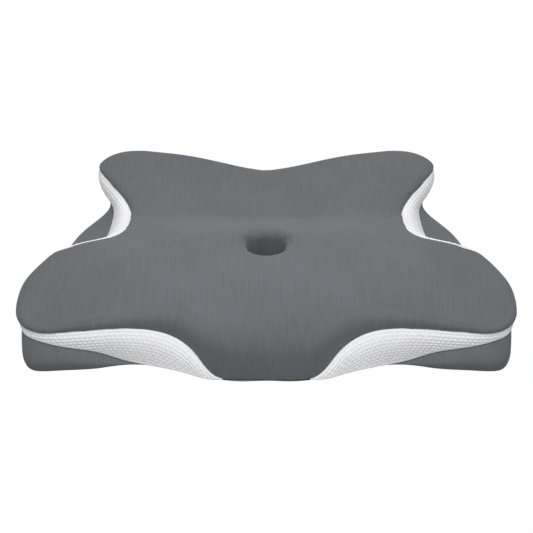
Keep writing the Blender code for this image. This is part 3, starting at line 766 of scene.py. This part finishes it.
def build_zip_tabs(finishes):
    for side, turned in (("right", False), ("left", True)):
        limits = (ZIP_TAB[0] - 0.12, ZIP_TAB[1])
        first, last = sorted((LOOP_STATIONS - limit if turned else limit) for limit in limits)
        share = shares(first, last, 2.5)
        rows, flat = side_band(share, 0.02, 12)
        sink = UNDER_MESH * smooth((ZIP_TAB[0] + 0.02 - station_counts(share)) / 0.06)
        rows = rows - grid_normals(rows, False) * sink[:, None]
        seam = (SEAM_ROLL, outward(TOP_SEAM, share))
        rows, flat = turned_in(rows, flat, False, start=seam, end=seam)
        tab = piece_from_grid(f"zip_tab_{side}", rows, flat, finishes["grey_knit"], False)
        settle(tab, "grey_knit", f"zip_end_tab_{side}")


def towards_hollow(ring):
    """Level unit vectors from a ring round the hollow to the hollow's axis."""
    level = np.array([0, HOLLOW_Y, 0]) - ring * [1, 1, 0]
    return level / np.linalg.norm(level, axis=1)[:, None]


def hollow_cup(angle, rows=30):
    """The hollow below the top panel's join, from its floor's middle up, and its places on the flat cloth."""
    join, floor = -LINING_JOIN_DEPTH - GAP, -HOLLOW_DEPTH
    corner = (HOLLOW_RADIUS - 8, floor + 0.6)
    base = profile_curve((0.8, floor), (9, floor), (HOLLOW_RADIUS - 12, floor), corner, rows // 3)
    wall = profile_curve(corner, (HOLLOW_RADIUS - 2.5, floor + 1.4), (HOLLOW_RADIUS - 1, floor + 7),
                         (HOLLOW_RADIUS, join), rows)
    cup = np.array([np.column_stack([radius * np.cos(angle), HOLLOW_Y + radius * np.sin(angle),
                                     np.full(len(angle), MOUTH + height)])
                    for radius, height in np.concatenate([base, wall[1:]])])
    return cup, np.stack([cup[..., 0], cup[..., 1] + cup[..., 2]], 2)


def build_lining(finishes):
    """The cup that lines the hollow, sewn to the top panel down inside it."""
    rows, flat = hollow_cup(np.linspace(0, math.tau, 181)[:-1])
    rows, flat = turned_in(rows, flat, True, end=(LINING_ROLL, towards_hollow(rows[-1])))
    cup = settle(piece_from_grid("hollow_cup", rows, flat, finishes["grey_knit"], True, cap_start=True),
                 "grey_knit", "hollow_lining")


# ---- liner and foam
def inner_layer(rows, depth, groove):
    """A surface under the cover, deeper where a groove clears a seam allowance, and above the floor."""
    moved = rows - grid_normals(rows, True) * (depth + groove)[..., None]
    moved[..., 2] = np.maximum(moved[..., 2], depth)
    return moved


def build_inside(finishes):
    """The thin liner in two halves, and the moulded foam block inside it."""
    share = whole_loop(2 * COLUMN_SPACING)
    lines = sections(share)
    angle = np.arctan2(lines.edge[:, 1] - HOLLOW_Y, lines.edge[:, 0])
    cup, cup_flat = hollow_cup(angle, 18)
    top, top_flat = top_panel(share)
    bottom, bottom_flat = bottom_panel(share)
    middle = (lines.seam + lines.low_seam) / 2
    gap = np.array([0, 0, 0.5 * GAP])
    surface = np.concatenate([cup, top[1:], [middle], bottom])
    flat = np.concatenate([cup_flat, top_flat[1:], [middle[:, :2]], bottom_flat])
    split = len(cup) + len(top)
    groove = np.zeros(surface.shape[:2])
    for seam_row in (len(cup) - 1, split - 2, split):
        from_seam = np.linalg.norm(surface - surface[seam_row], axis=2)
        groove = np.maximum(groove, (ALLOWANCE + SEAM_ROLL) * np.exp(-((from_seam / 7) ** 2)))
    # The layers step back where the lower seam nears the floor, and where the cover narrows to a tab.
    near_floor = smooth((14 - lines.low_seam[:, 2]) / 10)
    near_tab = np.exp(-(((station_counts(share) - ZIP_TAB[0] - 0.2) / 0.5) ** 2))
    from_middle = np.linalg.norm(surface - surface[split - 1], axis=2)
    back = FLOOR_RETREAT * near_floor * np.exp(-((from_seam / 14) ** 2))
    back += TAB_RETREAT * near_tab * np.exp(-((from_middle / 24) ** 2))
    retreat = back[..., None] * lines.seam_out
    depth = COVER + GAP
    outside = inner_layer(surface, depth, groove) - retreat
    for name, part, half, caps, size in (
            ("liner_top_half", slice(0, split), "liner_top", (True, False), (0.76, 0.54)),
            ("liner_bottom_half", slice(split - 1, None), "liner_bottom", (False, True), (0.70, 0.50))):
        rows = outside[part].copy()
        rows[-1 if half == "liner_top" else 0] += gap if half == "liner_top" else -gap
        piece = piece_from_grid(name, rows, flat[part], finishes["liner"], True, thickness=LINER,
                                cap_start=caps[0], cap_end=caps[1])
        settle(piece, "liner", half)
    core = inner_layer(surface, depth + LINER + GAP, groove) - retreat
    foam = piece_from_grid("foam_block", core, flat, finishes["foam"], True, thickness=0, cap_start=True,
                           cap_end=True)
    settle(foam, "foam", "foam_core")


# ---- zip
def zip_place(angle, outward_by=0.0):
    """The frame at a place on the zip's arc, with X along the zip and Y out of the pillow."""
    radius = ZIP_RADIUS - outward_by
    x, y = radius * math.sin(angle), ZIP_CENTRE_Y - radius * math.cos(angle)
    return Matrix.Translation(to_frame((x, y, ZIP_Z))) @ Matrix.Rotation(angle, 4, "Z")


def on_arc(along, outward_by, height):
    """Points on the zip's arc from lengths along it, distances out and heights, in millimetres."""
    along, outward_by, height = np.broadcast_arrays(along, outward_by, height)
    angle = along / ZIP_RADIUS
    radius = ZIP_RADIUS - outward_by
    return np.stack([radius * np.sin(angle), ZIP_CENTRE_Y - radius * np.cos(angle), ZIP_Z + height], -1)


def build_tapes(finishes):
    """Two woven tapes, each with a thicker cord beside the coil and its far edge behind the panel's fold."""
    half_length = (TEETH_ANGLE + math.radians(1)) * ZIP_RADIUS
    along = np.linspace(-half_length, half_length, 220)
    under_tabs = 1.3 * smooth((np.abs(along) - half_length + 8) / 3)
    profile = [(1.15, -0.75), (1.2, -0.35), (1.9, -0.3), (2.6, -0.36), (4.0, -0.42), (6.0, -0.45),
               (8.0, -0.45), (9.6, -0.6), (10.9, -1.2)]
    for name, side in (("upper", 1), ("lower", -1)):
        rows = np.array([on_arc(along, out - under_tabs, side * height) for height, out in profile[::-side]])
        flat = np.array([np.column_stack([along, np.full(len(along), side * height)])
                         for height, out in profile[::-side]])
        tape = piece_from_grid(f"tape_{name}", rows, flat, finishes["zip_tape"], False, thickness=0.55)
        settle(tape, "zip_tape", f"zip_tape_{name}")


def new_curve(name, dimensions, outlines, closed, finish):
    """A curve object of straight-edged splines through points in metres."""
    curve = bpy.data.curves.new(name, "CURVE")
    curve.dimensions = dimensions
    for outline in outlines:
        spline = curve.splines.new("POLY")
        spline.points.add(len(outline) - 1)
        for point, place in zip(spline.points, outline):
            point.co = (*place, 1)
        spline.use_cyclic_u = closed
    curve.materials.append(finish)
    return new_object(name, curve), curve


def tube(name, path, radius, sides, finish):
    """A round rod along a path of points in millimetres."""
    made, curve = new_curve(name, "3D", [to_frame(path)], False, finish)
    curve.bevel_depth = radius * MM
    curve.bevel_resolution = sides
    curve.use_fill_caps = True
    return made


def build_coils(finishes):
    """The two nylon coils, each a flattened helix whose loops lie between the other's."""
    pitch, points_per_loop = 1.27, 12
    half_length = TEETH_ANGLE * ZIP_RADIUS
    loops = int(2 * half_length / pitch)
    turn = np.linspace(0, loops, loops * points_per_loop + 1)
    for name, side in (("upper", 1), ("lower", -1)):
        phase = math.tau * turn
        along = -half_length + turn * pitch + (0.5 * pitch if side > 0 else 0)
        height = side * (1.25 + 0.68 * np.cos(phase))
        path = on_arc(along, 0.45 + 0.45 * np.sin(phase), height)
        settle(tube(f"coil_{name}", path, 0.27, 1, finishes["zip_teeth"]), "zip_teeth", f"zip_teeth_{name}")


def rounded(corners, radius, steps=5):
    """A closed outline with each corner of a polygon cut to a curve."""
    corners = [np.array(corner, float) for corner in corners]
    outline = []
    for before, corner, after in zip(corners[-1:] + corners[:-1], corners, corners[1:] + corners[:1]):
        start = corner + (before - corner) * radius / np.linalg.norm(before - corner)
        end = corner + (after - corner) * radius / np.linalg.norm(after - corner)
        for t in np.linspace(0, 1, steps):
            outline.append((1 - t) ** 2 * start + 2 * (1 - t) * t * corner + t * t * end)
    return outline


def plate(name, outlines, back, front, place, finish, edge=0.2):
    """A flat part with holes and softened edges: outlines in the zip's X and Z, and its limits along Y."""
    flat = [[(x * MM, z * MM, 0) for x, z in outline] for outline in outlines]
    made, curve = new_curve(name, "2D", flat, True, finish)
    curve.fill_mode = "BOTH"
    curve.bevel_depth = edge * MM
    curve.bevel_resolution = 3
    curve.offset = -edge * MM
    curve.extrude = ((front - back) / 2 - edge) * MM
    middle = Matrix.Translation((0, (front + back) / 2 * MM, 0))
    made.matrix_world = place @ middle @ Matrix.Rotation(math.pi / 2, 4, "X")
    return made


def block(x_low, x_high, z_low, z_high):
    return [(x_low, z_low), (x_high, z_low), (x_high, z_high), (x_low, z_high)]


def build_stops(finishes):
    """A crimped metal stop past each end of the coil."""
    turn = (STOP_LENGTH / 2 + GAP) / ZIP_RADIUS
    for name, side in (("closed_end", -1), ("open_end", 1)):
        place = zip_place(side * (TEETH_ANGLE + turn))
        half, height = STOP_LENGTH / 2, STOP_HEIGHT / 2
        outline = rounded(block(-half, half, -height, height), 0.9)
        stop = plate(f"stop_{name}", [outline], 0, 1.6, place, finishes["zip_metal"], edge=0.45)
        settle(stop, "zip_metal", f"zip_stop_{name}")


def build_slider(finishes):
    """Two shield-shaped plates joined by a wedge, with folded sides and a bail for the pull."""
    place = zip_place(SLIDER_REST)
    metal = finishes["zip_metal"]
    shield = rounded([(-5.5, -2.9), (-4.2, -4.5), (1.0, -4.5), (5.5, -3.4), (5.5, 3.4), (1.0, 4.5),
                      (-4.2, 4.5), (-5.5, 2.9)], 0.8)
    bail = [rounded([(-3.0, 0), (3.0, 0), (2.6, 2.5), (-2.6, 2.5)], 0.7),
            rounded([(-2.2, -0.2), (2.2, -0.2), (2.0, 1.7), (-2.0, 1.7)], 0.4)]
    bail_foot = Matrix.Translation((0, (SLIDER_FRONT - 0.1) * MM, 0))
    bail_place = place @ bail_foot @ Matrix.Rotation(-math.pi / 2, 4, "X")
    front_plate = plate("slider_front_plate", [shield], 1.45, SLIDER_FRONT, place, metal, edge=0.3)
    settle(front_plate, "zip_metal", "zip_slider", body="slider")
    parts = [
        plate("slider_back_plate", [shield], -2.1, -1.3, place, metal),
        plate("slider_wedge", [block(-4.5, -1.5, -0.25, 0.25)], -1.4, 1.6, place, metal, edge=0.05),
        plate("slider_bail", bail, -0.9, 0.9, bail_place, metal, edge=0.15),
    ]
    for name, side in (("upper", 1), ("lower", -1)):
        rail = [(x, side * z) for x, z in ((-4.2, 2.9), (3.6, 2.9), (3.6, 3.7), (1.0, 4.3), (-4.2, 4.3))]
        parts.append(plate(f"slider_side_{name}", [rail[::side]], 0.1, 1.7, place, metal, edge=0.15))
    for part in parts:
        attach(part, "slider")


def build_pull(finishes):
    """The pull, lying along the zip, with a window for the bail and a hole near its end."""
    place = zip_place(SLIDER_REST, SLIDER_FRONT + 0.85)
    outline = rounded([(-0.5, -2.6), (4.6, -2.6), (9, -1.9), (15, -2.0), (21.5, -2.6), (24, -1.4), (24, 1.4),
                       (21.5, 2.6), (15, 2.0), (9, 1.9), (4.6, 2.6), (-0.5, 2.6)], 0.45)
    window = rounded(block(0.55, 4.05, -1.5, 1.5), 0.4)
    grip_hole = rounded(block(17.25, 21.75, -1.1, 1.1), 1.0)
    pull = plate("pull_tab", [outline, window, grip_hole], -0.5, 0.5, place, finishes["zip_metal"], edge=0.2)
    settle(pull, "zip_metal", "zip_pull", body="pull")


# ---- stage
def add_light(name, kind, energy, place, rotation):
    lamp = bpy.data.lights.new(name, kind)
    lamp.energy = energy
    light = new_object(name, lamp)
    light.location = place
    light.rotation_euler = rotation
    return light


def add_softbox(name, y, power):
    """A square softbox above the pillow, turned to its middle."""
    place = Vector((0, y, 0.9))
    turn = (Vector((0, -0.05, 0.1)) - place).to_track_quat("-Z", "Y")
    light = add_light(name, "AREA", power, place, turn.to_euler())
    light.data.shape = "SQUARE"
    light.data.size = 0.5
    light.visible_camera = False


def add_sky(elevation, strength):
    """Soft light from the front part of the studio's ceiling. The elevation is in degrees."""
    light = add_light("high_sky", "SUN", strength, (0, 0, 2), (math.radians(90 - elevation), 0, 0))
    light.data.angle = math.radians(30)


def build_stage():
    """A table and a room that look plain white but light the pillow as grey ones do, and the lamps."""
    mesh = bpy.data.meshes.new("floor")
    half = 14
    corners = [(-half, -half, 0), (half, -half, 0), (half, half, 0), (-half, half, 0)]
    mesh.from_pydata(corners, [], [(0, 1, 2, 3)])
    floor_material, tree, shader = material("table", (0.45, 0.45, 0.45), 0.9)
    seen = node(tree, "ShaderNodeLightPath")
    white = node(tree, "ShaderNodeEmission")
    mix = node(tree, "ShaderNodeMixShader")
    tree.links.new(seen.outputs["Is Camera Ray"], mix.inputs[0])
    tree.links.new(shader.outputs[0], mix.inputs[1])
    tree.links.new(white.outputs[0], mix.inputs[2])
    tree.links.new(mix.outputs[0], tree.nodes["Material Output"].inputs["Surface"])
    mesh.materials.append(floor_material)
    floor = new_object("floor", mesh)
    floor.location.z = -0.0002
    world = bpy.data.worlds.new("studio")
    world.use_nodes = True
    tree = world.node_tree
    seen = node(tree, "ShaderNodeLightPath").outputs["Is Camera Ray"]
    strength = node(tree, "ShaderNodeMapRange", {"Value": seen, "To Min": 0.5, "To Max": 1.0})
    background = tree.nodes["Background"]
    feed(tree, (1, 1, 1, 1), background.inputs["Color"])
    feed(tree, strength.outputs["Result"], background.inputs["Strength"])
    bpy.context.scene.world = world
    add_sky(60, 0.45)
    add_softbox("front_softbox", -0.5, 5.6)
    add_softbox("rear_softbox", 0.5, 2.6)


def build_camera():
    """A long lens, looking down on the pillow from in front."""
    data = bpy.data.cameras.new("camera")
    data.lens = 83.4
    data.sensor_width = 36
    data.shift_y = -0.0235
    data.clip_start = 0.05
    data.clip_end = 60
    camera = new_object("camera", data)
    elevation = math.radians(37)
    camera.location = (0, -1.1577 - Y_MIDDLE * MM, 1.0731)
    camera.rotation_euler = (math.pi / 2 - elevation, 0, 0)
    bpy.context.scene.camera = camera


# ---- everything
def main():
    bpy.context.scene.view_settings.view_transform = "Standard"
    finishes = {
        "grey_knit": knit_material("grey_knit", (0.108, 0.110, 0.121)),
        "white_mesh": mesh_material("white_mesh", (0.83, 0.83, 0.85)),
        "liner": plain_cloth_material("liner_jersey", (0.84, 0.84, 0.83), 0.9, 0.05),
        "foam": foam_material("moulded_foam", (0.86, 0.82, 0.70)),
        "zip_tape": plain_cloth_material("woven_tape", (0.12, 0.125, 0.14), 0.8, 0.08),
        "zip_teeth": plastic_material("nylon_coil", (0.1, 0.105, 0.115)),
        "zip_metal": metal_material("cast_metal", (0.32, 0.33, 0.35)),
    }
    for build in (build_cover, build_side_panels, build_zip_tabs, build_lining, build_inside,
                  build_tapes, build_coils, build_stops, build_slider, build_pull):
        build(finishes)
    build_stage()
    build_camera()


main()
